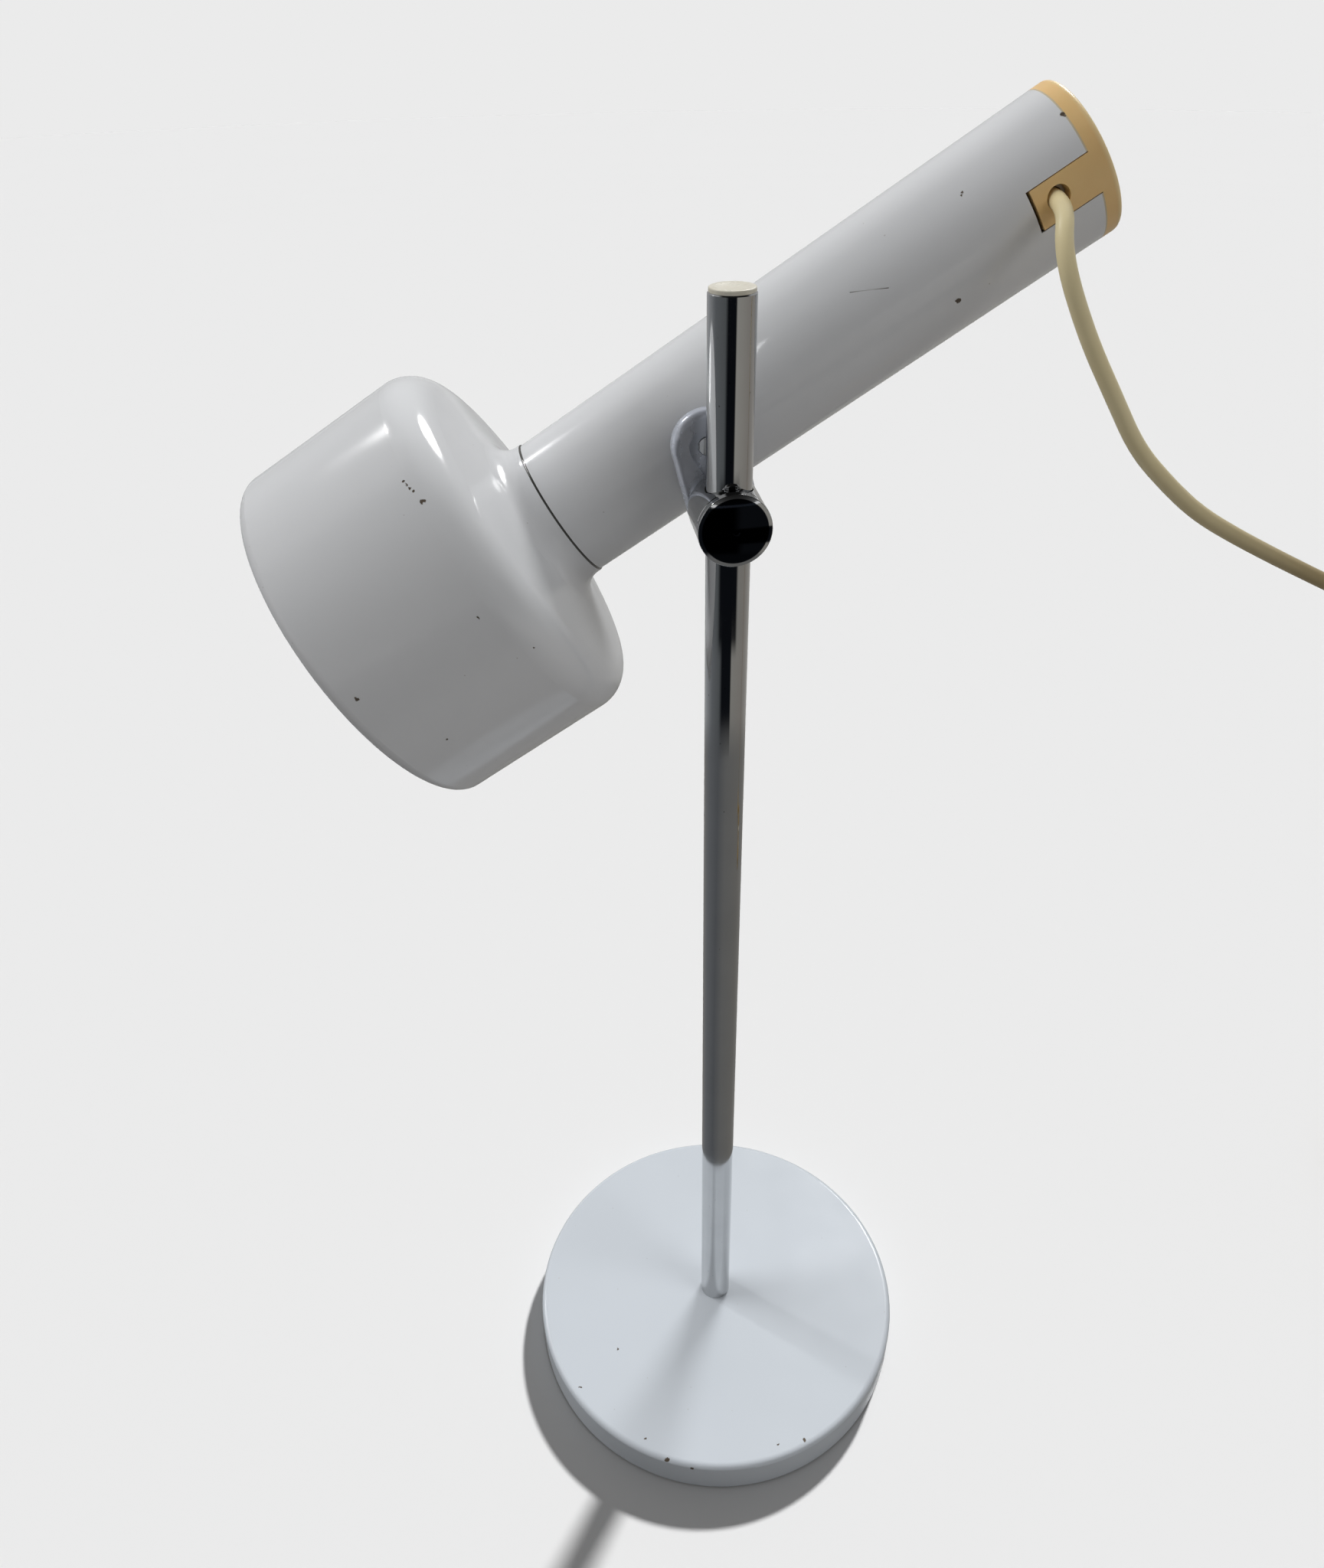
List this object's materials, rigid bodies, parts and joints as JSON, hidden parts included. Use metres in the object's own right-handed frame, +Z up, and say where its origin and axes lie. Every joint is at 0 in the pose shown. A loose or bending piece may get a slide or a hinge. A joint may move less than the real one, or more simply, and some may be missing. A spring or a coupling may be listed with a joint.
{
  "type": "desk lamp",
  "caption": "Desk lamp with a round weighted base, an upright rod, a sliding and turning clamp with a swing arm, and a tubular head with a round shade and a rear switch.",
  "frame": {"origin": "centre of the base's underside, on the table, on the rod's axis", "axes": "+Z up along the rod; -Y the way the clamp's knob faces at rest; the shade lies towards -X and the rear cap towards +X"},
  "size_m": [0.6023, 0.1929, 0.5355],
  "materials": {
    "enamel": "glossy off-white enamel",
    "cast_iron": "rough",
    "felt": "dark felt",
    "steel": "zinc plated",
    "chrome": "polished",
    "pale_plastic": "satin",
    "nylon": "plain",
    "fibre": "red fibre",
    "cap_plastic": "yellowed, satin gloss",
    "porcelain": "glazed",
    "brass": "plain",
    "bulb_metal": "thin sheet",
    "opal_glass": "opal",
    "cord_vinyl": "beige vinyl, satin",
    "wire_blue": "insulation",
    "wire_brown": "insulation",
    "paper": "soft band"
  },
  "bodies": {
    "stand": {"base_cover": "enamel", "ballast": "cast_iron", "base_pad": "felt", "base_washer": "steel", "base_bolt": "steel", "rod": "chrome", "rod_insert": "steel", "rod_plug": "pale_plastic", "cord_coil": "cord_vinyl", "coil_tie": "paper", "plug_body": "cord_vinyl", "plug_pins": "brass", "pin_sleeves": "nylon"},
    "slider": {"bore_liner": "nylon"},
    "clamp": {"clamp_body": "chrome", "arm_washer": "fibre", "wave_washer": "steel", "retaining_disc": "steel", "retaining_screw": "steel"},
    "knob": {"knob": "chrome", "knob_stud": "steel"},
    "arm": {"swing_arm": "chrome", "pivot_stud": "chrome", "pivot_spring_washer": "steel", "pivot_nut": "steel"},
    "button": {"switch_button": "cap_plastic"},
    "head": {"pivot_washer": "fibre", "outer_saddle": "chrome", "inner_saddle": "steel", "head_tube": "enamel", "neck_ring": "steel", "shade": "enamel", "shade_ring": "porcelain", "holder_body": "porcelain", "holder_thread": "brass", "centre_contact": "brass", "bulb_cap": "bulb_metal", "bulb_glass": "opal_glass", "rear_cap": "cap_plastic", "cord_grip": "nylon", "switch_body": "nylon", "switch_screws": "steel", "neutral_wire": "wire_blue", "live_wire": "wire_brown", "switched_wire": "wire_brown", "cord_lead": "cord_vinyl"}
  },
  "joints": [
    {"name": "clamp_height", "type": "slide", "parent": "stand", "child": "slider", "axis": [0, 0, 1], "range_m": [-0.22, 0.045]},
    {"name": "clamp_swivel", "type": "hinge", "parent": "slider", "child": "clamp", "pos_m": [0, 0, 0.4265], "axis": [0, 0, 1], "range_deg": [-60, 60]},
    {"name": "arm_swing", "type": "hinge", "parent": "clamp", "child": "arm", "pos_m": [0, 0, 0.4265], "axis": [0, -1, 0], "range_deg": [-24, 6]},
    {"name": "head_tilt", "type": "hinge", "parent": "arm", "child": "head", "pos_m": [-0.00473, 0, 0.4449], "axis": [0, -1, 0], "range_deg": [-50, 10], "deforming": ["cord_lead"]},
    {"name": "knob_turn", "type": "hinge", "parent": "clamp", "child": "knob", "pos_m": [0, 0, 0.4265], "axis": [0, -1, 0], "range_deg": [0, 360]},
    {"name": "switch_press", "type": "slide", "parent": "head", "child": "button", "axis": [-0.8526, 0, -0.5225], "range_m": [0, 0.002], "stiffness_N_per_m": 800, "springref_m": -0.0015}
  ]
}
